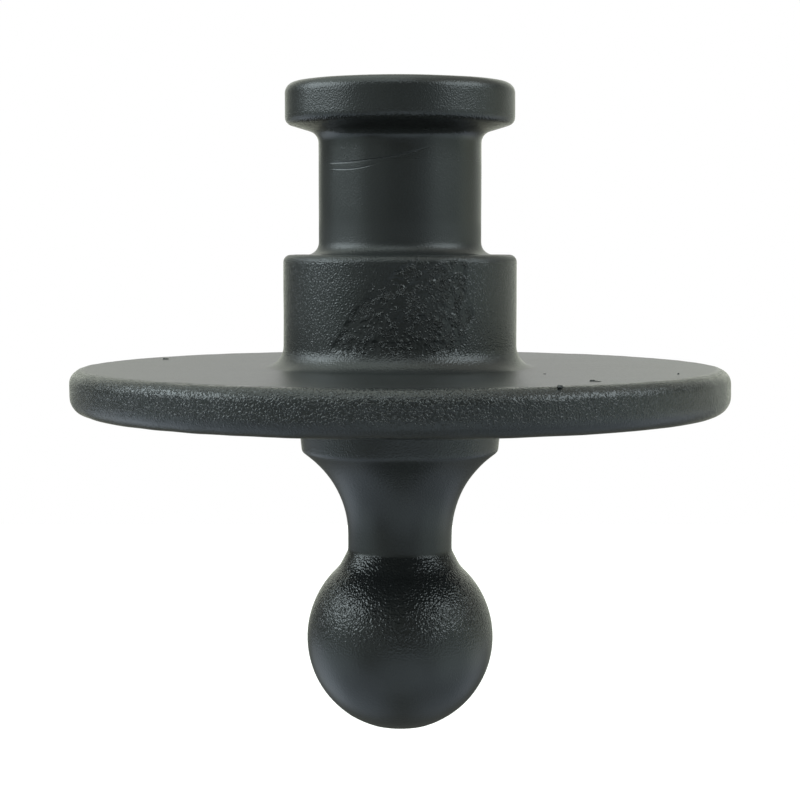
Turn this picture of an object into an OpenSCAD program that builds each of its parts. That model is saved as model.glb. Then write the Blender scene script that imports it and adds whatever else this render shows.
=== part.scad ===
// Gooseneck ball adapter: a king pin, a round plate, a waisted shank and a hitch ball forged as one piece.
// The axis is Z. The origin is the centre of the plate's face on the king pin's side.

/* [King pin] */
// Diameter of the neck that the hitch jaws close on
neck_d = 50.8; // [40:0.1:60]
// Length of the neck between the collar and the foot of the flange
neck_h = 37.4; // [20:0.1:60]
// Diameter of the flange at the end of the pin
flange_d = 71.6; // [66:0.1:90]
// Height of the flange at its edge
flange_h = 12.6; // [9:0.1:24]
// Angle at which the flange's inner face rises outwards from the neck
flange_slope = 17; // [2:1:25]
// Rounding of the flange's end edge
flange_round = 3.4; // [1:0.1:5]
// Rounding of the flange's inner edge
flange_inner_round = 2.4; // [1:0.1:3]
// Fillet at each end of the neck
neck_fillet = 3.8; // [1:0.1:5]
// Diameter of the collar at the foot of the pin
collar_d = 73; // [66:0.1:90]
// Height of the collar above the plate
collar_h = 35; // [15:0.5:60]
// Rounding of the collar's upper edge
collar_round = 2.4; // [0.5:0.1:3.5]

/* [Plate] */
// Diameter of the round plate
plate_d = 205.5; // [150:0.5:260]
// Thickness of the round plate
plate_h = 14; // [12:0.5:30]
// Rounding of the plate's edge on the king pin's side
plate_pin_round = 4.5; // [1:0.1:5.5]
// Rounding of the plate's edge on the ball's side
plate_ball_round = 5.7; // [1:0.1:6]
// Fillet between the collar and the plate
collar_fillet = 6.5; // [1:0.5:12]

/* [Shank] */
// Diameter of the boss at the plate
boss_d = 64.4; // [58:0.2:80]
// Height of the boss
boss_h = 12.6; // [8:0.2:25]
// Draft angle of the boss's side
boss_draft = 6; // [1:0.5:10]
// Rounding of the boss's free edge
boss_round = 1.8; // [0.5:0.1:3]
// Fillet between the boss and the plate
boss_fillet = 4; // [1:0.1:5]
// Angle between the plate's face and the start of the cove
cove_slope = 38; // [25:1:50]
// Radius of the cove that runs from the boss to the shank
cove_r = 31.5; // [15:0.5:40]
// Diameter of the shank at its waist
shank_d = 32.8; // [26:0.1:40]
// Length of the straight shank between the cove and the cone
shank_h = 4.6; // [4:0.1:30]
// Fillet between the straight shank and the cone
shank_fillet = 3.2; // [0.5:0.1:5]
// Angle between the axis and the side of the cone that joins the shank to the ball
cone_angle = 27; // [15:0.5:35]
// Height of the cone
cone_h = 5.4; // [4:0.1:7]

/* [Ball] */
// Diameter of the ball
ball_d = 58.74; // [50:0.01:77]
// Fillet between the cone and the ball
ball_fillet = 9.5; // [1:0.5:15]
// Diameter of the flat on the ball's end
flat_d = 18; // [10:0.5:26]

/* [Hidden] */
$fn = 180;

neck_r = neck_d / 2;
flange_r = flange_d / 2;
collar_r = collar_d / 2;
plate_r = plate_d / 2;
boss_r = boss_d / 2;
shank_r = shank_d / 2;
ball_r = ball_d / 2;

flange_foot_z = collar_h + neck_h;
flange_edge_z = flange_foot_z + (flange_r - neck_r) * tan(flange_slope);
pin_end_z = flange_edge_z + flange_h;

boss_end_r = boss_r - boss_h * tan(boss_draft);
boss_end_z = -plate_h - boss_h;
// The cove starts past the boss's rounding, so its radius is limited by the width between the boss and the shank.
boss_round_reach = boss_round * tan(45 - (cove_slope + boss_draft) / 2);
cove_width = (boss_end_r - shank_r) / cos(cove_slope) - boss_round_reach - 0.1;
cove_turn = tan(45 - cove_slope / 2);
cove_limited_r = min(cove_r, cove_width / cove_turn);
cove_corner_z = boss_end_z - (boss_end_r - shank_r) * tan(cove_slope);
shank_end_z = cove_corner_z - cove_limited_r * cove_turn - shank_h;

cone_end_r = shank_r + cone_h * tan(cone_angle);
cone_end_z = shank_end_z - cone_h;
ball_z = cone_end_z - sqrt(ball_r * ball_r - cone_end_r * cone_end_r);
flat_z = ball_z - sqrt(ball_r * ball_r - flat_d * flat_d / 4);

// The circle of a rounding or fillet reaches past the sides it joins by this much, so that it cuts them cleanly.
bite = 0.002;
// How far the piece of a rounding or fillet reaches past its corner
overlap = 3;

// The turned outline from the ball's centre up to the pin's end: the radius, height and rounding of each corner.
corners = [
    [0, ball_z, 0],
    [cone_end_r, cone_end_z, 0],
    [shank_r, shank_end_z, shank_fillet],
    [shank_r, cove_corner_z, cove_limited_r],
    [boss_end_r, boss_end_z, boss_round],
    [boss_r, -plate_h, boss_fillet],
    [plate_r, -plate_h, plate_ball_round],
    [plate_r, 0, plate_pin_round],
    [collar_r, 0, collar_fillet],
    [collar_r, collar_h, collar_round],
    [neck_r, collar_h, neck_fillet],
    [neck_r, flange_foot_z, neck_fillet],
    [flange_r, flange_edge_z, flange_inner_round],
    [flange_r, pin_end_z, flange_round],
    [0, pin_end_z, 0]
];
points = [for (c = corners) [c[0], c[1]]];
rounded = [for (i = [1:len(corners) - 2]) if (corners[i][2] > 0) i];

function unit(v) = v / norm(v);
function back(i) = unit(points[i - 1] - points[i]);
function on(i) = unit(points[i + 1] - points[i]);
function is_outer(i) = back(i)[1] * on(i)[0] > back(i)[0] * on(i)[1];

// The piece between the circle of a rounding, the two points where it meets its sides, and a point past the corner
module corner_piece(side_a, past, side_b, middle, r) {
    difference() {
        polygon([side_a, past, side_b]);
        translate(middle) circle(r = r);
    }
}

module rounding(i) {
    r = corners[i][2];
    half = acos(back(i) * on(i)) / 2;
    bisector = unit(back(i) + on(i));
    reach = (r - bite) / tan(half);
    corner_piece(
        points[i] + on(i) * reach,
        points[i] - bisector * overlap,
        points[i] + back(i) * reach,
        points[i] + bisector * (r - bite) / sin(half),
        r
    );
}

// The fillet's circle touches the cone's side, and the ball from outside.
module fillet_at_ball() {
    side = [sin(cone_angle), -cos(cone_angle)];
    out = [cos(cone_angle), sin(cone_angle)];
    gap = ball_fillet - bite;
    from_ball = [shank_r, shank_end_z - ball_z] + out * gap;
    along = from_ball * side;
    slide = -along - sqrt(along * along - from_ball * from_ball + pow(ball_r + gap, 2));
    middle = [shank_r, shank_end_z] + out * gap + side * slide;
    corner_piece(
        middle - out * gap,
        [cone_end_r - overlap, cone_end_z],
        [0, ball_z] + unit(middle - [0, ball_z]) * ball_r,
        middle,
        ball_fillet
    );
}

module ball_outline() {
    difference() {
        translate([0, ball_z]) circle(r = ball_r);
        translate([-ball_d, ball_z - ball_d]) square([ball_d, 2 * ball_d]);
        translate([-1, flat_z - ball_d]) square([ball_d, ball_d]);
    }
}

module outline() {
    difference() {
        union() {
            polygon(points);
            for (i = rounded) if (!is_outer(i)) rounding(i);
            fillet_at_ball();
            ball_outline();
        }
        for (i = rounded) if (is_outer(i)) rounding(i);
    }
}

module forged_adapter() {
    color("darkslategray") rotate_extrude() outline();
}

forged_adapter();
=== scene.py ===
# %% [markdown]
# # Gooseneck ball adapter
# The object is one steel forging: a king pin that a hitch's jaws close on, a round plate that rests on the
# hitch, and a waisted shank that ends in a hitch ball. It is sprayed all over in one dark satin paint. The
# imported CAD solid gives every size. This script keeps the solid's place and sizes and gives it a finer skin.

# %% Frame
import math

import bpy
import numpy as np
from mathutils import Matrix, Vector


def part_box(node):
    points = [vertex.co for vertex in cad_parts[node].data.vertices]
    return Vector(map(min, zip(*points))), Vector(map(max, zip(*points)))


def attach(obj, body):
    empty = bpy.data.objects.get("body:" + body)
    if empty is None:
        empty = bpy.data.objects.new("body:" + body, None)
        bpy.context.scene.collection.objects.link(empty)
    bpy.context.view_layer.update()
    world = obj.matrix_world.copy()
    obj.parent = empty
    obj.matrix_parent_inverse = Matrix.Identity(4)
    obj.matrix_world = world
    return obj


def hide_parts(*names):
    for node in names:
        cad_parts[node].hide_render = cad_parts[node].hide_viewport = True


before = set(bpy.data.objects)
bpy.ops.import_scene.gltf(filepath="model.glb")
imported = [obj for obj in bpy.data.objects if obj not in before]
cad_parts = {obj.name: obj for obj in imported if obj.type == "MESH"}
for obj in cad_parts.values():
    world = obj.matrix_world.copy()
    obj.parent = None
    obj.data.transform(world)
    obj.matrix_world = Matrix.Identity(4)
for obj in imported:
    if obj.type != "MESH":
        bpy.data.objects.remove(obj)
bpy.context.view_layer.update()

NODE = "forged_adapter"
node_low, node_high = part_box(NODE)
print("CAD node", NODE, "from", [round(v, 4) for v in node_low], "to", [round(v, 4) for v in node_high])

# %% [markdown]
# ## Sizes
# A turned shape needs only its outline: the radius and the height of each corner, and how far each corner is
# rounded. The outline could be read back from the CAD mesh, but that mesh is coarse on the plate's rounded
# edge. So the sizes repeat the CAD source's, in millimetres, and read as they would on a drawing.

# %% Sizes in millimetres
NECK_R, NECK_H, NECK_FILLET = 25.4, 37.4, 3.8
FLANGE_R, FLANGE_H, FLANGE_SLOPE = 35.8, 12.6, math.radians(17)
FLANGE_ROUND, FLANGE_INNER_ROUND = 3.4, 2.4
COLLAR_R, COLLAR_H, COLLAR_ROUND, COLLAR_FILLET = 36.5, 35.0, 2.4, 6.5
PLATE_R, PLATE_H, PLATE_PIN_ROUND, PLATE_BALL_ROUND = 102.75, 14.0, 4.5, 5.7
BOSS_R, BOSS_H, BOSS_DRAFT = 32.2, 12.6, math.radians(6)
BOSS_ROUND, BOSS_FILLET = 1.8, 4.0
COVE_SLOPE, COVE_R = math.radians(38), 31.5
SHANK_R, SHANK_H, SHANK_FILLET = 16.4, 4.6, 3.2
CONE_ANGLE, CONE_H = math.radians(27), 5.4
BALL_R, BALL_FILLET = 29.37, 9.5
FLAT_R, FLAT_ROUND = 9.0, 1.2

FOOT_Z = COLLAR_H + NECK_H
FLANGE_EDGE_Z = FOOT_Z + (FLANGE_R - NECK_R) * math.tan(FLANGE_SLOPE)
PIN_END_Z = FLANGE_EDGE_Z + FLANGE_H
BOSS_END_R = BOSS_R - BOSS_H * math.tan(BOSS_DRAFT)
BOSS_END_Z = -PLATE_H - BOSS_H
COVE_CORNER_Z = BOSS_END_Z - (BOSS_END_R - SHANK_R) * math.tan(COVE_SLOPE)
SHANK_END_Z = COVE_CORNER_Z - COVE_R * math.tan(math.pi / 4 - COVE_SLOPE / 2) - SHANK_H
CONE_END_R = SHANK_R + CONE_H * math.tan(CONE_ANGLE)
CONE_END_Z = SHANK_END_Z - CONE_H
BALL_Z = CONE_END_Z - math.sqrt(BALL_R ** 2 - CONE_END_R ** 2)
FLAT_Z = BALL_Z - math.sqrt(BALL_R ** 2 - FLAT_R ** 2)
print(f"pin end {PIN_END_Z:.2f} mm, ball centre {BALL_Z:.2f} mm, ball's flat {FLAT_Z:.2f} mm")

# %% [markdown]
# ## Outline
# Every change of section on the real part has a rounding or a fillet. The outline runs from the middle of
# the ball's flat, round the ball, up the shank and out over the plate to the middle of the pin's end. A
# Bevel modifier could round the corners too, but a true arc that touches both sides of its corner keeps the
# radius that was measured.


# %% Arcs
def unit(v):
    """The vector divided by its length."""
    return v / np.linalg.norm(v)


def swept(centre, radius, first, last, step):
    """Points on a circle, from the direction of first to the direction of last, the short way round: centre
    plus radius times the cosine and sine of evenly spaced angles, about step apart along the arc."""
    a, b = (math.atan2(*(p - centre)[::-1]) for p in (first, last))
    sweep = (b - a + math.pi) % (2 * math.pi) - math.pi
    angles = a + sweep * np.linspace(0, 1, max(3, round(abs(sweep) * radius / step) + 1))
    return centre + radius * np.column_stack([np.cos(angles), np.sin(angles)])


def corner_arc(before, corner, after, radius, step):
    """The arc that touches both sides of a corner. Its centre is on the bisector, radius over the sine of
    half the corner's angle away, and it meets each side radius over the tangent of that half angle away."""
    back, on = unit(before - corner), unit(after - corner)
    half = math.acos(back @ on) / 2
    centre = corner + unit(back + on) * radius / math.sin(half)
    reach = radius / math.tan(half)
    return swept(centre, radius, corner + back * reach, corner + on * reach, step)


square = corner_arc(np.array([1.0, 0.0]), np.zeros(2), np.array([0.0, 1.0]), 0.25, 0.05)
print("an arc of 0.25 in a square corner runs from", square[0].round(3), "to", square[-1].round(3))

# %% The whole outline
# Each corner is its radius, its height, how far it is rounded, and the spacing of the rows of vertices on
# its arc and on the side that follows it. Rows are close where forging left a rough skin, and wide on smooth
# faces.
CORNERS = [
    (SHANK_R, SHANK_END_Z, SHANK_FILLET, 0.6, 1.6),
    (SHANK_R, COVE_CORNER_Z, COVE_R, 1.9, 1.2),
    (BOSS_END_R, BOSS_END_Z, BOSS_ROUND, 0.6, 1.3),
    (BOSS_R, -PLATE_H, BOSS_FILLET, 1.1, 6.0),
    (PLATE_R, -PLATE_H, PLATE_BALL_ROUND, 0.8, 0.8),
    (PLATE_R, 0.0, PLATE_PIN_ROUND, 0.55, 6.0),
    (COLLAR_R, 0.0, COLLAR_FILLET, 1.0, 0.36),
    (COLLAR_R, COLLAR_H, COLLAR_ROUND, 0.6, 1.2),
    (NECK_R, COLLAR_H, NECK_FILLET, 0.9, 2.4),
    (NECK_R, FOOT_Z, NECK_FILLET, 1.0, 1.4),
    (FLANGE_R, FLANGE_EDGE_Z, FLANGE_INNER_ROUND, 0.7, 0.9),
    (FLANGE_R, PIN_END_Z, FLANGE_ROUND, 0.7, 3.6),
]
FLAT_ROWS, BALL_STEP, BALL_FILLET_STEP, CONE_STEP = 4, 1.75, 1.0, 1.6
FLAT_EDGE_SHARE, FLAT_EDGE_SHIFT = 0.08, (-0.08, 0.06)  # place the one row that softens the flat's edge


def outline():
    """The radius and height of each row of vertices, in order from the ball's flat to the pin's end."""
    ball = np.array([0.0, BALL_Z])
    side = np.array([math.sin(CONE_ANGLE), -math.cos(CONE_ANGLE)])
    out = np.array([math.cos(CONE_ANGLE), math.sin(CONE_ANGLE)])
    # The ball's fillet touches the cone's side, and its centre is both radii away from the ball's centre.
    beside = np.array([SHANK_R, SHANK_END_Z]) + out * BALL_FILLET
    from_ball = beside - ball
    along = from_ball @ side
    slide = -along - math.sqrt(along ** 2 - from_ball @ from_ball + (BALL_R + BALL_FILLET) ** 2)
    middle = beside + side * slide
    tangent = ball + unit(middle - ball) * BALL_R
    # The ball's arc starts a little past the flat's edge, so that the edge has its small rounding.
    flat_edge = np.array([FLAT_R, FLAT_Z])
    start = ball + unit(flat_edge + FLAT_ROUND * np.array([1.0, FLAT_R / BALL_R]) - ball) * BALL_R
    parts = [
        np.column_stack([np.linspace(0, FLAT_R - FLAT_ROUND, FLAT_ROWS), np.full(FLAT_ROWS, FLAT_Z)]),
        (flat_edge + (start - flat_edge) * FLAT_EDGE_SHARE + FLAT_EDGE_SHIFT)[None],
        swept(ball, BALL_R, start, tangent, BALL_STEP),
        swept(middle, BALL_FILLET, tangent, middle - out * BALL_FILLET, BALL_FILLET_STEP)[1:],
    ]
    before, step = parts[-1][-1], CONE_STEP
    points = [np.array(c[:2]) for c in CORNERS] + [np.array([0.0, PIN_END_Z])]
    for corner, after, (_, _, radius, arc_step, side_step) in zip(points, points[1:], CORNERS):
        arc = corner_arc(before, corner, after, radius, arc_step)
        last = parts[-1][-1]
        gap = np.linalg.norm(arc[0] - last)
        share = np.linspace(0, 1, max(2, round(gap / step) + 1))[1:-1, None]
        parts += [last + (arc[0] - last) * share, arc]
        before, step = corner, side_step
    last = parts[-1][-1]
    share = np.linspace(0, 1, round(last[0] / step) + 1)[1:, None]
    return np.vstack(parts + [last + (points[-1] - last) * share])


# Three more rows lie on the plate's face, close beside its edge, where the forged rim begins with a small
# step.
EDGE_ROWS = np.array([[97.8, 0.0], [97.3, 0.0], [96.5, 0.0]])
TINY = 0.001  # millimetres that count as touching
profile = outline()
face_edge = (profile[:, 1] > -TINY) & (profile[:, 0] > PLATE_R - PLATE_PIN_ROUND - TINY)
profile = np.insert(profile, np.flatnonzero(face_edge)[-1] + 1, EDGE_ROWS, axis=0)
print("rows:", len(profile), "radius up to", profile[:, 0].max().round(3))
print("height from", profile[:, 1].min().round(3), "to", profile[:, 1].max().round(3))

# %% [markdown]
# ## Skin
# The forging isn't a perfect turned shape. The dies leave it very slightly uneven, the plate's rim is ragged
# where the flash was trimmed, and the collar carries a fan-shaped scar where scale was pressed into the hot
# steel. A Displace modifier could do this, but numpy can place each edge of the scar. These forms are large
# enough to see as shape, so they move the vertices, and only inwards, so that the skin stays inside the CAD
# box. Grain and orange peel under a millimetre across are left to the material.


# %% Waves and ramps
def waves(points, wavelength, seed, count=40):
    """A smooth random field with no seam: the sum of count cosine waves that run through space in random
    directions, each about one wavelength long with its own phase, scaled to a spread of about one."""
    draw = np.random.default_rng(seed)
    ways = draw.normal(size=(count, 3))
    spread = draw.uniform(0.75, 1.3, count)
    ways *= (2 * math.pi / wavelength * spread / np.linalg.norm(ways, axis=1))[:, None]
    return np.cos(points @ ways.T + draw.uniform(0, 2 * math.pi, count)).sum(1) * math.sqrt(2 / count)


def ramp(value, start, end):
    """0 before start, 1 after end, and the smooth cubic 3tt - 2ttt between them."""
    t = np.clip((value - start) / (end - start), 0, 1)
    return t * t * (3 - 2 * t)


def band(value, start, end):
    """1 between two stretches: it climbs over the first stretch and falls over the second."""
    return ramp(value, *start) * (1 - ramp(value, *end))


print("a ramp from 0 to 1 at a quarter, a half and three quarters:", ramp(np.array([0.25, 0.5, 0.75]), 0, 1))

# %% Grid of vertices
# The columns are three times as close across the front, where the scar is. Their density round the axis is
# added up, and the columns stand where that sum passes equal steps. 0 degrees faces the photographer, and 90
# is +X.
COLUMNS, FINE_TURNS = 340, 7201
FRONT_FULL, FRONT_END, FRONT_DENSITY = 36, 46, 3
fine_turn = np.linspace(-180, 180, FINE_TURNS)
density = 1 + (FRONT_DENSITY - 1) * (1 - ramp(np.abs(fine_turn), FRONT_FULL, FRONT_END))
passed = np.concatenate([[0], np.cumsum((density[1:] + density[:-1]) / 2)])
angle = np.radians(np.interp(np.arange(COLUMNS) / COLUMNS * passed[-1], passed, fine_turn))
rows = profile[1:-1]
along = np.gradient(profile, axis=0)[1:-1]
along /= np.linalg.norm(along, axis=1)[:, None]


def turned(radius, height):
    """Each outline point carried round the axis: x = r sin a, y = -r cos a, z = h."""
    r, h = radius[:, None], np.broadcast_to(height[:, None], (len(height), COLUMNS))
    return np.stack([r * np.sin(angle), -r * np.cos(angle), h], axis=-1).reshape(-1, 3)


smooth = turned(rows[:, 0], rows[:, 1])
outwards = turned(along[:, 1], -along[:, 0])
radius = np.repeat(rows[:, 0], COLUMNS)
height = np.repeat(rows[:, 1], COLUMNS)
turn = np.tile(np.degrees(angle), len(rows))  # degrees, from -180 to 180, and 0 in front
print("vertices on the grid:", len(smooth))

# %% Where each surface is
# Each surface has a mask that is 1 on it and 0 elsewhere. The pairs are the stretches of height or radius,
# in millimetres, over which the masks climb or fall.
EDGE_INSET, EDGE_WANDER, EDGE_FADE = 0.2, 0.25, (-0.4, 0.5)
UNDER_EDGE = (PLATE_R - 7, PLATE_R - 3)
FACE_START, FILLET_END, FILLET_FAR = (37.7, 40.7), (4.5, 6.5), 60
COLLAR_START, COLLAR_END = (3.5, 7), (COLLAR_H - 0.6, COLLAR_H + 1.2)
COLLAR_INSIDE = NECK_R + 5
NECK_START, NECK_END = (COLLAR_H + 1, COLLAR_H + 9), (FOOT_Z - 1.5, FOOT_Z + 2)
SHANK_START, COVE_START = (SHANK_END_Z - 1, SHANK_END_Z + 0.5), (-46, -34)
edge = PLATE_R - PLATE_PIN_ROUND - EDGE_INSET
edge = edge + EDGE_WANDER * np.clip(waves(smooth, wavelength=5, seed=21), -1, 1)
past_edge = np.where(height > -PLATE_H / 2, ramp(radius, edge + EDGE_FADE[0], edge + EDGE_FADE[1]),
                     ramp(radius, *UNDER_EDGE))
on_rim = past_edge * (height <= TINY) * (height >= -PLATE_H - TINY)
on_plate_face = (1 - past_edge) * ramp(radius, *FACE_START)
on_fillet = (1 - on_plate_face) * (1 - ramp(height, *FILLET_END)) * (height > -TINY) * (radius < FILLET_FAR)
on_collar = band(height, COLLAR_START, COLLAR_END) * (radius > COLLAR_INSIDE)
on_neck = band(height, NECK_START, NECK_END)
on_shank = band(height, SHANK_START, COVE_START)
print("vertices on the rim, collar and neck:", *(int(m.sum()) for m in (on_rim, on_collar, on_neck)))

# %% The scar's outline
# Across the collar's front the scar spans from 20.5 mm left of the middle to 19.5 mm right of it. Its upper
# edge follows a quarter wave that climbs from low on the left to the collar's top edge on the right, and its
# floor ends in a small shelf just above the fillet. Each edge wanders, and fades over a stretch of its own.
SCAR_LEFT, SCAR_RIGHT, SCAR_FLOOR = -20.5, 19.5, 5.4
SCAR_LOW, SCAR_RISE, SCAR_REACH, SCAR_BEND = 9.0, 27.0, 34.0, 0.85
TOP_WANDER, LEFT_WANDER, RIGHT_WANDER, FLOOR_WANDER = 1.2, 0.8, 0.9, 0.35
TOP_FADE, LEFT_FADE, RIGHT_FADE, FLOOR_FADE = (-1.0, 3.0), (-0.5, 2.0), (-0.8, 1.4), (-0.7, 0.4)
FRONT_FADE = (5, 15)  # millimetres in front of the axis, so that the scar is on the front alone
across = smooth[:, 0]
share = np.clip((across - SCAR_LEFT) / SCAR_REACH, 0, 1)
upper_edge = SCAR_LOW + SCAR_RISE * np.sin(share * math.pi / 2) ** SCAR_BEND
below_top = upper_edge + TOP_WANDER * waves(smooth, wavelength=9, seed=11) - height
from_left = across - SCAR_LEFT + LEFT_WANDER * waves(smooth, wavelength=7, seed=12)
from_right = SCAR_RIGHT - across + RIGHT_WANDER * waves(smooth, wavelength=8, seed=13)
above_floor = height - SCAR_FLOOR + FLOOR_WANDER * waves(smooth, wavelength=6, seed=14)
scar = (
    ramp(-smooth[:, 1], *FRONT_FADE) * on_collar
    * ramp(below_top, *TOP_FADE)
    * ramp(from_left, *LEFT_FADE)
    * ramp(from_right, *RIGHT_FADE)
    * ramp(above_floor, *FLOOR_FADE)
)
print(f"scar: {scar.mean() * 100:.2f} % of the grid")

# %% Folds and grit inside the scar
# Ridges of folded scale lie in arcs round the middle of the scar's lower edge, with grit between them. A
# smooth island is left high in the middle, and two low shelves run along the bottom.
SCAR_DEPTH, FOLD_HEIGHT, GRIT_HEIGHT, SHELF_HEIGHT = 0.30, 0.15, 0.09, 0.16
FOLD_X, FOLD_Z, FOLD_STEP, FOLD_WIDTH = -1.5, 5, 2.3, 0.17  # the width is a share of the step
FOLD_WANDER, FOLD_RIPPLE, FOLD_BREAKS = 0.8, 0.25, (-0.5, 0.6)
GRIT_SHARPNESS = 1.4
ISLAND_Z, ISLAND_HALF_WIDTH, ISLAND_HALF_HEIGHT = 21.7, 4.6, 5.2
ISLAND_WANDER, ISLAND_FADE = 0.15, (0.75, 1.25)
ISLAND_LIFT, ISLAND_CLEAN = 0.35, 0.8  # the shares of the scar's depth and of its grit that the island lacks
SHELVES, SHELF_WANDER = [(6.2, 0.45, 1.0), (9.8, 0.40, 0.6)], 0.3  # height, half the width, strength

fold_radius = (
    np.hypot(across - FOLD_X, height - FOLD_Z)
    + FOLD_WANDER * waves(smooth, wavelength=6, seed=15)
    + FOLD_RIPPLE * waves(smooth, wavelength=2.5, seed=18)
)
fold_phase = fold_radius / FOLD_STEP % 1 - 0.5
folds = np.exp(-(fold_phase / FOLD_WIDTH) ** 2) * ramp(waves(smooth, wavelength=4.5, seed=16), *FOLD_BREAKS)
grit = np.clip(1 - GRIT_SHARPNESS * np.abs(waves(smooth, wavelength=2.4, seed=17)), 0, 1)
from_island = np.hypot(across / ISLAND_HALF_WIDTH, (height - ISLAND_Z) / ISLAND_HALF_HEIGHT)
island = 1 - ramp(from_island + ISLAND_WANDER * waves(smooth, wavelength=4, seed=19), *ISLAND_FADE)
shelf_shift = SHELF_WANDER * waves(smooth, wavelength=5, seed=20)
shelf = sum(power * np.exp(-((height - z - shelf_shift) / half) ** 2) for z, half, power in SHELVES)
raised = (
    FOLD_HEIGHT * folds * (1 - island)
    + GRIT_HEIGHT * grit * (1 - ISLAND_CLEAN * island)
    + SHELF_HEIGHT * shelf
)
scar_depth = scar * np.clip(SCAR_DEPTH * (1 - ISLAND_LIFT * island) - raised, 0, None)
print(f"the scar is {scar_depth.max():.2f} mm deep at most")

# %% All the unevenness, in millimetres below the CAD surface
DIE_UNEVEN, DIE_FINER_SHARE = 0.03, 0.6
RIM_ROUGH_LEFT, RIM_ROUGH_RIGHT = 1.0, 0.55
ROUGH_BEGINS, ROUGH_ENDS = (-180, -150), (18, 48)  # degrees of turn over which the rim's roughness changes
RIM_STEP, RAGGED, RAGGED_MOST = 0.12, 0.05, 0.12
HAIR = 0.01  # keeps the skin a hair below the CAD surface
rim_side = RIM_ROUGH_RIGHT + (RIM_ROUGH_LEFT - RIM_ROUGH_RIGHT) * band(turn, ROUGH_BEGINS, ROUGH_ENDS)
die = waves(smooth, wavelength=38, seed=1) + DIE_FINER_SHARE * waves(smooth, wavelength=17, seed=2)
ragged = on_rim * rim_side * RAGGED * waves(smooth, wavelength=13, seed=3)
ragged = np.clip(ragged, -RAGGED_MOST, RAGGED_MOST)
depth = scar_depth + np.abs(DIE_UNEVEN * die) + ragged + RIM_STEP * on_rim * rim_side
skin_points = smooth - outwards * (HAIR + np.maximum(depth, 0))[:, None]
print(f"depth: {depth.mean():.3f} mm on average, {depth.max():.3f} mm at most")

# %% [markdown]
# ## Mesh
# The grid closes on itself round the axis. A single vertex closes it at each pole, with a fan of triangles,
# so the skin is watertight. A Screw modifier would turn the outline too, but it can't give each vertex its
# own depth. Rows run upwards and columns run from the front towards +X, which turns each face out.


# %% Mesh from the grid
def closed_faces(row_count, columns):
    """The faces of a grid that closes round an axis: quads between neighbouring rows and columns, and one
    fan of triangles at each pole. The lower pole and then the upper one follow the grid's vertices."""
    index = np.arange(row_count * columns).reshape(row_count, columns)
    beside = np.roll(index, -1, axis=1)
    quads = np.stack([index[:-1], beside[:-1], beside[1:], index[1:]], axis=-1).reshape(-1, 4)
    low, high = np.full(columns, index.size), np.full(columns, index.size + 1)
    low_fan = np.stack([low, beside[0], index[0]], -1)
    high_fan = np.stack([high, index[-1], beside[-1]], -1)
    return quads, np.vstack([low_fan, high_fan])


def new_piece(name, vertices, quads, triangles):
    """A smooth-shaded object in the scene, from vertices in millimetres and two kinds of faces."""
    corners = np.concatenate([quads.ravel(), triangles.ravel()])
    sizes = np.concatenate([np.full(len(quads), 4), np.full(len(triangles), 3)])
    mesh = bpy.data.meshes.new(name)
    mesh.vertices.add(len(vertices))
    mesh.vertices.foreach_set("co", (vertices / 1000).astype(np.float32).ravel())
    mesh.loops.add(len(corners))
    mesh.loops.foreach_set("vertex_index", corners.astype(np.int32))
    mesh.polygons.add(len(sizes))
    mesh.polygons.foreach_set("loop_start", (np.cumsum(sizes) - sizes).astype(np.int32))
    mesh.polygons.foreach_set("use_smooth", np.ones(len(sizes), bool))
    mesh.update(calc_edges=True)
    mesh.validate()
    piece = bpy.data.objects.new(name, mesh)
    bpy.context.scene.collection.objects.link(piece)
    print(name, "triangles:", 2 * len(quads) + len(triangles))
    return piece


skin_poles = [(0, 0, FLAT_Z + HAIR), (0, 0, PIN_END_Z - HAIR)]
skin = new_piece("forged_skin", np.vstack([skin_points, skin_poles]), *closed_faces(len(rows), COLUMNS))

# %% [markdown]
# ## Where the finish changes
# The same paint looks different on each surface: it has its orange peel on the ball, is dull on the neck and
# the plate's face, and shows the grain of the collar, the rim and the boss. A texture image could say where,
# but numbers kept on the vertices stay exact and need no image. peel is how strong the orange peel is, fine
# how strong the fine grain of a descaled face is, grain how strong the coarse grain of the forged rim is,
# and crust how much of the scar's scale there is. dull is how far the paint is from its glossiest to its
# dullest.

# %% Surfaces that only the finish needs
NEAR = 40  # the boss, the ledge and the cove stay within this radius
BOSS_TOP = -PLATE_H - 0.5
BOSS_START, BALL_FADE = (BOSS_END_Z - 1, BOSS_END_Z + 1), (BALL_Z - 5, BALL_Z + 8)
FLANGE_START, SCORE_START = (FOOT_Z + 2, FOOT_Z + 6), (63, 66)
LEDGE_START, LEDGE_END = (COLLAR_H - 3, COLLAR_H - 1), (COLLAR_H + 4, COLLAR_H + 12)
COVE_END, CONE_START = (-PLATE_H - 3, -PLATE_H), (BALL_Z + 20, BALL_Z + 26)
RIM_TOP, RIM_SIDES, RIM_GRAIN_END = (0.3, 1.2), (15, 45), (9, 12)
on_boss = ramp(height, *BOSS_START) * (height < BOSS_TOP) * (radius < NEAR)
above_score = on_neck * ramp(height, *SCORE_START)
on_flange = ramp(height, *FLANGE_START)
on_ledge = band(height, LEDGE_START, LEDGE_END) * (radius < NEAR)
under_plate = band(height, COVE_START, COVE_END) * (radius < NEAR)
under_ball = 1 - ramp(height, *BALL_FADE)
on_cone = band(height, CONE_START, SHANK_START)
bare_collar = on_collar * (1 - scar)
rim_top_sides = on_rim * (1 - ramp(-height, *RIM_TOP)) * ramp(np.abs(turn), *RIM_SIDES)
print("vertices on the boss, flange and ledge:", *(int(m.sum()) for m in (on_boss, on_flange, on_ledge)))

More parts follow.
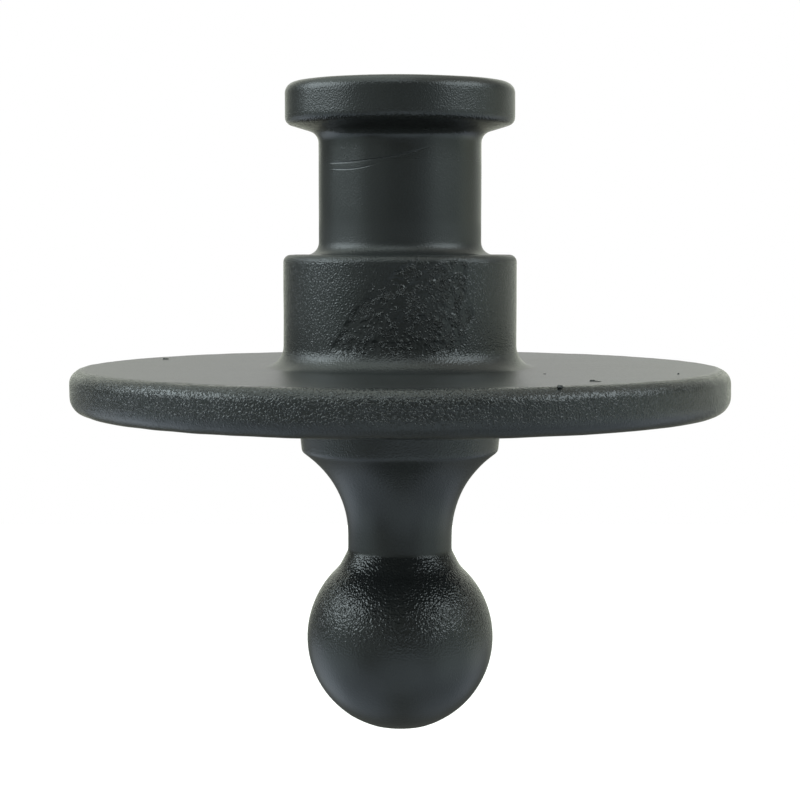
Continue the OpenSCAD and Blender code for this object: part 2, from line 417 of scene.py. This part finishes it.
# %% Finish masks, kept on the vertices
PEEL_BASE, DULL_BASE = 1.0, 0.1
FINISH = [  # surface, and what it adds to the peel, the fine grain and the dullness
    (on_flange, -0.90, 0.35, 0.42),
    (on_neck, -0.90, 0.00, 0.50),
    (above_score, 0.00, 0.00, -0.30),
    (on_ledge, -0.70, 0.20, 0.80),
    (on_collar, -0.70, 0.00, 0.00),
    (bare_collar, 0.00, 0.70, 0.10),
    (scar, 0.00, 0.00, -0.10),
    (on_fillet, -0.80, 0.55, 0.40),
    (on_plate_face, -0.80, 0.40, 0.80),
    (on_rim, -0.75, 0.40, -0.10),
    (rim_top_sides, 0.00, 0.00, 0.60),
    (on_boss, 0.00, 0.60, -0.40),
    (under_plate, -0.75, 0.00, 0.70),
    (on_shank, -0.85, 0.00, 0.75),
    (on_cone, -0.50, 0.00, 0.00),
    (under_ball, -0.85, 0.00, 0.50),
]


def keep_mask(name, values):
    """Puts one number on each vertex, for the material to read, with 0 at the two poles."""
    mask = skin.data.attributes.new(name, "FLOAT", "POINT")
    mask.data.foreach_set("value", np.concatenate([np.clip(values, 0, 1), [0, 0]]).astype(np.float32))
    print(f"{name}: {values.mean():.3f} on average")


keep_mask("peel", PEEL_BASE + sum(surface * peel for surface, peel, _, _ in FINISH))
keep_mask("fine", sum(surface * fine for surface, _, fine, _ in FINISH))
keep_mask("grain", on_rim * rim_side * (1 - ramp(-height, *RIM_GRAIN_END)))
keep_mask("crust", scar)
keep_mask("dull", DULL_BASE + sum(surface * dull for surface, _, _, dull in FINISH))

# %% [markdown]
# ## Paint
# The real finish is a dark satin enamel, sprayed on a forging that was only descaled. The paint levels into
# a fine orange peel, about a millimetre from crest to crest, with a few pimples of dust under it. It can't
# hide the grain of the descaled faces, the coarser grain of the forged rim, or the scar's crust of scale. It
# is almost black, so nearly everything that the eye sees is its gloss: broad soft reflections that the peel
# breaks into glints. A picture of paint would blur close up, so one principled shader takes its bump from
# noise.


# %% Colours and nodes
def linear(hex_colour):
    """An sRGB hex colour as the linear RGBA that Blender's sockets take."""
    channels = [int(hex_colour[i:i + 2], 16) / 255 for i in (1, 3, 5)]
    return tuple(c / 12.92 if c <= 0.04045 else ((c + 0.055) / 1.055) ** 2.4 for c in channels) + (1.0,)


def node(tree, kind, inputs=None, **settings):
    """Adds one shader node. settings are its own properties; inputs give each socket a value or a feed."""
    made = tree.nodes.new("ShaderNode" + kind)
    for name, value in settings.items():
        setattr(made, name, value)
    for name, value in (inputs or {}).items():
        if isinstance(value, bpy.types.NodeSocket):
            tree.links.new(value, made.inputs[name])
        else:
            made.inputs[name].default_value = value
    return made


def calc(tree, operation, *terms):
    """One step of arithmetic on a tree's values, with its terms in order."""
    return node(tree, "Math", dict(enumerate(terms)), operation=operation).outputs[0]


def node_ramp(tree, value, start, end, top=1.0, kind="SMOOTHSTEP"):
    """0 at start and top at end, with the same smooth cubic between them as ramp, or with a straight line."""
    inputs = {"Value": value, "From Min": start, "From Max": end, "To Max": top}
    return node(tree, "MapRange", inputs, interpolation_type=kind).outputs[0]


def new_tree(name):
    """A material, its empty node tree, and its output node."""
    material = bpy.data.materials.new(name)
    material.use_nodes = True
    material.node_tree.nodes.clear()
    return material, material.node_tree, material.node_tree.nodes.new("ShaderNodeOutputMaterial")


PAINT_DARK, PAINT_LIGHT = "#1F2122", "#252727"
print("paint", PAINT_DARK, [round(c, 4) for c in linear(PAINT_DARK)])

# %% Places and masks that the paint reads
paint, coat, paint_out = new_tree("satin_enamel_on_forged_steel")
place = node(coat, "TexCoord").outputs["Object"]
millimetres = node(coat, "VectorMath", {0: place, 1: (1000, 1000, 1000)}, operation="MULTIPLY").outputs[0]
part_x, part_y, part_z = node(coat, "SeparateXYZ", {"Vector": millimetres}).outputs


def mask(name):
    """A finish mask, as it was kept on the vertices."""
    return node(coat, "Attribute", attribute_name=name).outputs["Fac"]


def noise(cell, **shape):
    """Smooth random noise over the part, half a wave to a cell of that many millimetres."""
    inputs = {"Vector": millimetres, "Scale": 1 / cell, "Detail": 0.0}
    return node(coat, "TexNoise", {**inputs, **shape}).outputs[0]


print("nodes in the paint so far:", len(coat.nodes))

# %% Orange peel, pimples and grain
# Each layer is a height in millimetres, added on top of the one before.
PEEL_CELL, PEEL_HEIGHT = 0.60, 0.26
PIMPLE_CELL, PIMPLE_REACH, PIMPLE_HEIGHT = 1.15, 0.30, 0.14  # the reach is a share of the cell
GRAIN_CELL, GRAIN_HEIGHT, GRAIN_CREST = 0.62, 0.19, (0.46, 0.74)  # the crest is a stretch of the noise
FINE_CELL, FINE_HEIGHT = 0.45, 0.21
pimple_away = node(coat, "TexVoronoi", {"Vector": millimetres, "Scale": 1 / PIMPLE_CELL}).outputs["Distance"]
pimple = node_ramp(coat, pimple_away, PIMPLE_REACH, 0.0, PIMPLE_HEIGHT / PEEL_HEIGHT)
peel_and_pimple = calc(coat, "MULTIPLY", calc(coat, "ADD", noise(PEEL_CELL), pimple), mask("peel"))
peel_and_pimple = calc(coat, "MULTIPLY_ADD", mask("crust"), pimple, peel_and_pimple)
relief = calc(coat, "MULTIPLY", peel_and_pimple, PEEL_HEIGHT)
grain_crest = node_ramp(coat, noise(GRAIN_CELL, Detail=0.4, Roughness=0.5, Distortion=0.5), *GRAIN_CREST)
grain = calc(coat, "MULTIPLY", grain_crest, mask("grain"))
relief = calc(coat, "MULTIPLY_ADD", grain, GRAIN_HEIGHT, relief)
fine = calc(coat, "MULTIPLY", noise(FINE_CELL), mask("fine"))
relief = calc(coat, "MULTIPLY_ADD", fine, FINE_HEIGHT, relief)
print("peel, pimples, rim grain and fine grain in mm:", PEEL_HEIGHT, PIMPLE_HEIGHT, GRAIN_HEIGHT, FINE_HEIGHT)

# %% The scar's crust
# Thin ridges run where a noise passes its middle value, and a wider noise breaks them up.
CRUST_CELL, CRUST_WIDTH, CRUST_HEIGHT, CRUST_BREAK = 1.35, 0.10, 0.31, (0.46, 0.58)
from_middle = calc(coat, "SUBTRACT", noise(CRUST_CELL, Distortion=1.2), 0.5)
crust_line = node_ramp(coat, calc(coat, "ABSOLUTE", from_middle), CRUST_WIDTH, 0.0)
crust_share = node_ramp(coat, noise(2 * CRUST_CELL), *CRUST_BREAK, kind="LINEAR")
crust = calc(coat, "MULTIPLY", calc(coat, "MULTIPLY", crust_line, crust_share), mask("crust"))
relief = calc(coat, "MULTIPLY_ADD", crust, CRUST_HEIGHT, relief)
print("crust ridges:", CRUST_HEIGHT, "mm high, in cells of", CRUST_CELL, "mm")

# %% Scores and pits
# Two scores were dragged round the front of the neck. Each follows z = level + slope x + curl xx between two
# values of x.
SCORES = [  # level, slope, curl, start and end in x, half the width, depth; lengths in millimetres
    (64.9, 0.21, 0.0054, -22.0, 11.0, 0.40, 0.16),
    (65.28, 0.541, 0.0164, -21.5, -4.0, 0.30, 0.09),
]
# A score fades in over some millimetres of y, so that it is on the front alone, and fades at its two ends.
SCORE_FRONT, SCORE_BEGINS, SCORE_ENDS = -5.0, 3, 9
PITS = [(74.7, -70.6, -12.0, 0.9), (86.4, -55.7, -12.2, 0.8)]  # x, y, z of the middle, reach in millimetres
PIT_DEPTH, PIT_FLOOR = 0.35, 0.3  # the floor is a share of the reach
in_front = node_ramp(coat, part_y, 0.0, SCORE_FRONT, kind="LINEAR")
for level, slope, curl, start, end, half, deep in SCORES:
    rise = calc(coat, "MULTIPLY_ADD", part_x, curl, slope)
    line = calc(coat, "MULTIPLY_ADD", part_x, rise, level)
    gap = calc(coat, "ABSOLUTE", calc(coat, "SUBTRACT", part_z, line))
    groove = node_ramp(coat, gap, half, 0.0)
    begun = node_ramp(coat, part_x, start, start + SCORE_BEGINS, kind="LINEAR")
    unended = node_ramp(coat, part_x, end, end - SCORE_ENDS, kind="LINEAR")
    for limit in (begun, unended, in_front):
        groove = calc(coat, "MULTIPLY", groove, limit)
    relief = calc(coat, "MULTIPLY_ADD", groove, -deep, relief)
for x, y, z, reach in PITS:
    away = node(coat, "VectorMath", {0: millimetres, 1: (x, y, z)}, operation="DISTANCE").outputs["Value"]
    relief = calc(coat, "MULTIPLY_ADD", node_ramp(coat, away, reach, PIT_FLOOR * reach), -PIT_DEPTH, relief)
print("scores and pits:", len(SCORES), len(PITS))

# %% The paint's shader
GLOSSY, DULL, PAINT_IOR = 0.17, 0.38, 1.5  # roughness where the paint lies glossiest and dullest
CLOUDS_PER_METRE, CLOUD_DETAIL = 55.0, 2.0  # the faint patches of lighter paint
cloud = node(coat, "TexNoise", {"Vector": place, "Scale": CLOUDS_PER_METRE, "Detail": CLOUD_DETAIL})
colours = {"Factor": cloud.outputs[0], "A": linear(PAINT_DARK), "B": linear(PAINT_LIGHT)}
tone = node(coat, "Mix", colours, data_type="RGBA")
roughness = node(coat, "MapRange", {"Value": mask("dull"), "To Min": GLOSSY, "To Max": DULL}).outputs[0]
bump = node(coat, "Bump", {"Height": relief, "Distance": 0.001, "Strength": 1.0})  # a unit of height is 1 mm
shader = node(coat, "BsdfPrincipled", {
    "Base Color": tone.outputs["Result"], "Roughness": roughness, "IOR": PAINT_IOR, "Metallic": 0.0,
    "Normal": bump.outputs[0],
})
coat.links.new(shader.outputs[0], paint_out.inputs["Surface"])
skin.data.materials.append(paint)
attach(skin, "root")
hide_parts(NODE)
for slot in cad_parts[NODE].material_slots:
    slot.material = paint

# %% [markdown]
# ## Crumbs of scale
# A few crumbs of scale were pressed on to the plate's face and painted over. Bump would vanish there,
# because the face is seen almost edge on, so each crumb is a squashed, lumpy dome that stands half sunk in
# the face.

# %% Crumbs of scale
CRUMBS = np.array([  # x, y, z of the middle, half the width, and how far it stands up; all in millimetres
    (-78.2, 41.7, 0.0, 0.9, 0.35), (53.6, -70.1, 0.0, 0.8, 0.40), (55.0, -71.0, 0.0, 0.9, 0.22),
    (82.0, -38.8, 0.0, 0.4, 0.32), (42.7, -38.8, 0.0, 0.5, 0.14), (43.2, -90.8, -0.2, 0.8, 0.50),
])
CRUMB_ROWS, CRUMB_COLUMNS, CRUMB_TILT = 9, 16, 80  # the tilt is the first and last row's, in degrees
LUMP, LUMP_MOST = 0.22, 1.5  # the lumps' size as a share of the reach, and where their waves are cut off


def crumb_grid():
    """Rows of a sphere between its poles, each point at its crumb's middle plus the half width across and the
    height upwards, with the reach made lumpy by a smooth random field."""
    tilt = np.radians(np.linspace(-CRUMB_TILT, CRUMB_TILT, CRUMB_ROWS))[None, :, None]
    round_it = 2 * math.pi * np.arange(CRUMB_COLUMNS)[None, None, :] / CRUMB_COLUMNS
    sides = np.cos(tilt) * np.cos(round_it), np.cos(tilt) * np.sin(round_it), np.sin(tilt)
    middle, size = CRUMBS[:, None, None, :3], CRUMBS[:, None, None, [3, 3, 4]]
    reach = np.stack(np.broadcast_arrays(*sides), axis=-1) * size
    field = waves((middle + reach).reshape(-1, 3), wavelength=1.1, seed=31)
    lumps = 1 + LUMP * np.clip(field, -LUMP_MOST, LUMP_MOST)
    return middle + reach * lumps.reshape(reach.shape[:3])[..., None]


crumb_poles = CRUMBS[:, None, :3] + np.array([0, 0, 1]) * CRUMBS[:, None, 4:] * np.array([[-1], [1]])
crumb_points = np.concatenate([crumb_grid().reshape(len(CRUMBS), -1, 3), crumb_poles], axis=1)
first = (np.arange(len(CRUMBS)) * crumb_points.shape[1])[:, None, None]
crumb_faces = closed_faces(CRUMB_ROWS, CRUMB_COLUMNS)
crumb_faces = [(first + faces).reshape(-1, faces.shape[1]) for faces in crumb_faces]
scale_crumbs = new_piece("scale_crumbs", crumb_points.reshape(-1, 3), *crumb_faces)
scale_crumbs.data.materials.append(paint)
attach(scale_crumbs, "root")
print("crumbs:", len(CRUMBS))

# %% [markdown]
# ## Camera
# The photograph was taken from a little above the plate's face, which shows as a thin ellipse, and from
# about two thirds of a metre away. The lens is given for a 36 mm sensor and a square picture. The camera was
# fitted to the photograph's outline together with the sizes, because one guessed by eye would bend them all.

# %% Camera
CAMERA_AWAY, CAMERA_UP, CAMERA_TILT = 0.6367, 0.03735, 4.307  # metres, metres and degrees
LENS, SENSOR, NEAREST = 91.44, 36.0, 0.01  # millimetres, millimetres and metres
camera_data = bpy.data.cameras.new("camera")
camera_data.lens, camera_data.sensor_width, camera_data.clip_start = LENS, SENSOR, NEAREST
camera = bpy.data.objects.new("camera", camera_data)
camera.location = (0, -CAMERA_AWAY, CAMERA_UP)
camera.rotation_euler = (math.radians(90 - CAMERA_TILT), 0, 0)
bpy.context.scene.collection.objects.link(camera)
bpy.context.scene.camera = camera
bpy.context.scene.view_settings.view_transform = "Standard"
print("camera", [round(v, 4) for v in camera.location], "lens", LENS, "mm")

# %% [markdown]
# ## Studio
# Dark satin paint shows its room, so the light is a room: a white sweep behind the object, white side walls,
# a darker end where the photographer stands, and three softboxes, left, right and high in front. Walls and
# cards could be built as meshes, but soft glows on the world's sky do the same and cast no hard edges. The
# camera itself sees plain white, and so does any ray that a surface mirrors nearly straight back to the
# sweep. The floor lies well below the ball, as the adapter hangs free in the picture.


# %% Softboxes
def bearing(turn_deg, rise_deg):
    """The unit direction at that turn from the photographer's side towards +X, and that rise above the
    horizon: x = sin a cos e, y = -cos a cos e, z = sin e."""
    a, e = math.radians(turn_deg), math.radians(rise_deg)
    return math.sin(a) * math.cos(e), -math.cos(a) * math.cos(e), math.sin(e)


LAMP_TINT = "#ECFAFF"
SOFTBOXES = [  # name, turn, rise, distance, width and height in metres, radiance
    ("softbox_left", -84, 27, 0.8, 0.74, 0.41, 4.3),
    ("softbox_right", 67, 31, 0.8, 0.64, 0.41, 3.8),
    ("softbox_front", -8, 50, 1.3, 0.8, 0.5, 1.4),
]


def softbox(name, turn_deg, rise_deg, away, width, tall, radiance):
    """A rectangular area lamp that faces the object from that bearing. A lamp of that area gives a radiance
    of its power over pi times its area, so the power is worked back from the radiance."""
    lamp = bpy.data.lights.new(name, "AREA")
    lamp.shape, lamp.size, lamp.size_y = "RECTANGLE", width, tall
    lamp.energy = radiance * math.pi * width * tall
    lamp.color = linear(LAMP_TINT)[:3]
    holder = bpy.data.objects.new(name, lamp)
    holder.location = [away * v for v in bearing(turn_deg, rise_deg)]
    holder.rotation_euler = (math.radians(90 - rise_deg), 0, math.radians(turn_deg))
    holder.visible_camera = False
    bpy.context.scene.collection.objects.link(holder)
    print(name, [round(v, 2) for v in holder.location], f"{lamp.energy:.1f} W")


for box in SOFTBOXES:
    softbox(*box)

# %% Room
ROOM_LEVEL, ROOM_TINT = 0.155, "#FAFFF2"
GLOWS = [  # turn and rise of the middle, degrees from it where the glow ends and is full, level, tint
    (0, -38, 40, 5, 0.64, "#DCF0FF"),  # the floor in front
    (-90, -45, 50, 15, 0.68, "#D8EAFF"),  # the floor on the left
    (90, -45, 50, 15, 0.45, "#D6E8FF"),  # the floor on the right
    (45, -20, 40, 10, 0.30, "#DCF0FF"),  # the floor's far part, in front and to the right
    (-82, -6, 40, 10, 0.32, "#E6FFF8"),  # the left wall
    (75, -8, 45, 10, 0.38, "#E8FFF4"),  # the right wall
    (-90, 65, 50, 10, 1.30, "#F0FFF8"),  # the ceiling on the left
    (90, 65, 50, 10, 0.50, "#FFFFF0"),  # the ceiling on the right
    (180, 45, 50, 10, 0.18, "#FFFFF2"),  # the backdrop's upper part
    (153, 9, 32, 8, 0.50, "#F8FFF2"),  # the backdrop, right of the middle
    (-172, 15, 33, 8, 0.72, "#F8FFF2"),  # the backdrop, left of the middle
    (178, 5, 28, 8, 0.20, "#FFFFD8"),  # the backdrop's lower part, straight behind
    (112, -8, 26, 8, 0.34, "#F8FFE2"),  # the corner between the right wall and the backdrop
    (-127, -26, 27, 8, 0.66, "#E2EEFA"),  # the floor's bright corner on the left
    (122, -24, 25, 8, 0.28, "#E6EEFC"),  # the floor's bright corner on the right
    (-42, 10, 35, 8, 0.26, "#ECFFFF"),  # the wall behind the photographer, on the left
]
world = bpy.data.worlds.new("studio")
world.use_nodes = True
bpy.context.scene.world = world
room = world.node_tree
room.nodes.clear()
way = node(room, "TexCoord").outputs["Generated"]


def glow(turn_deg, rise_deg, end, full, level=1.0):
    """A round patch of the sky: level within full degrees of its middle and 0 beyond end degrees, worked out
    from the cosine of the angle between the ray and the patch's middle."""
    cosine = node(room, "VectorMath", {0: way, 1: bearing(turn_deg, rise_deg)}, operation="DOT_PRODUCT")
    edge_cosine, full_cosine = math.cos(math.radians(end)), math.cos(math.radians(full))
    return node_ramp(room, cosine.outputs["Value"], edge_cosine, full_cosine, level)


def scaled(tint, amount):
    """A tint times an amount, as light."""
    return node(room, "VectorMath", {0: linear(tint)[:3], "Scale": amount}, operation="SCALE").outputs[0]


light = scaled(ROOM_TINT, ROOM_LEVEL)
for *patch, tint in GLOWS:
    light = node(room, "VectorMath", {0: light, 1: scaled(tint, glow(*patch))}, operation="ADD").outputs[0]
print("room glows:", len(GLOWS))

# %% White backdrop
# The camera, and rays that pass through a surface, see plain white. Mirrored rays see it straight behind the
# object. Elsewhere they see the room, because dark paint that mirrors white on all sides looks grey.
BEHIND_RISE, BEHIND_END, BEHIND_FULL = 9, 15, 4  # degrees


def seen_directly(tree):
    """1 for rays from the camera or through a surface, and 0 for the rest."""
    path = node(tree, "LightPath").outputs
    return calc(tree, "MAXIMUM", path["Is Camera Ray"], path["Is Transmission Ray"])


mirrored = node(room, "LightPath").outputs["Is Glossy Ray"]
mirrored = calc(room, "MULTIPLY", mirrored, glow(180, BEHIND_RISE, BEHIND_END, BEHIND_FULL))
white = {"Factor": calc(room, "MAXIMUM", seen_directly(room), mirrored), "A": light, "B": (1, 1, 1, 1)}
shown = node(room, "Mix", white, data_type="RGBA").outputs["Result"]
background = node(room, "Background", {"Color": shown, "Strength": 1.0})
room_out = room.nodes.new("ShaderNodeOutputWorld")
room.links.new(background.outputs[0], room_out.inputs["Surface"])
print("mirrored rays see full white within", BEHIND_FULL, "degrees of the backdrop's middle")

# %% Floor
FLOOR_Z, FLOOR_HALF, PAPER, PAPER_LIFT = -0.6, 4.0, "#E8E8E8", 0.7
floor_mesh = bpy.data.meshes.new("studio_floor")
floor_corners = [(x * FLOOR_HALF, y * FLOOR_HALF, FLOOR_Z) for x, y in ((-1, -1), (1, -1), (1, 1), (-1, 1))]
floor_mesh.from_pydata(floor_corners, [], [(0, 1, 2, 3)])
floor = bpy.data.objects.new("studio_floor", floor_mesh)
bpy.context.scene.collection.objects.link(floor)
matt, sheet, matt_out = new_tree("matt_white_paper")
diffuse = node(sheet, "BsdfDiffuse", {"Color": linear(PAPER)})
lift = calc(sheet, "MULTIPLY", seen_directly(sheet), PAPER_LIFT)
shine = node(sheet, "Emission", {"Color": (1, 1, 1, 1), "Strength": lift})
both = node(sheet, "AddShader", {0: diffuse.outputs[0], 1: shine.outputs[0]})
sheet.links.new(both.outputs[0], matt_out.inputs["Surface"])
floor_mesh.materials.append(matt)
floor.visible_glossy = False  # in the paint's reflections the world's own floor glows stand for the floor
print("floor at", FLOOR_Z, "m")
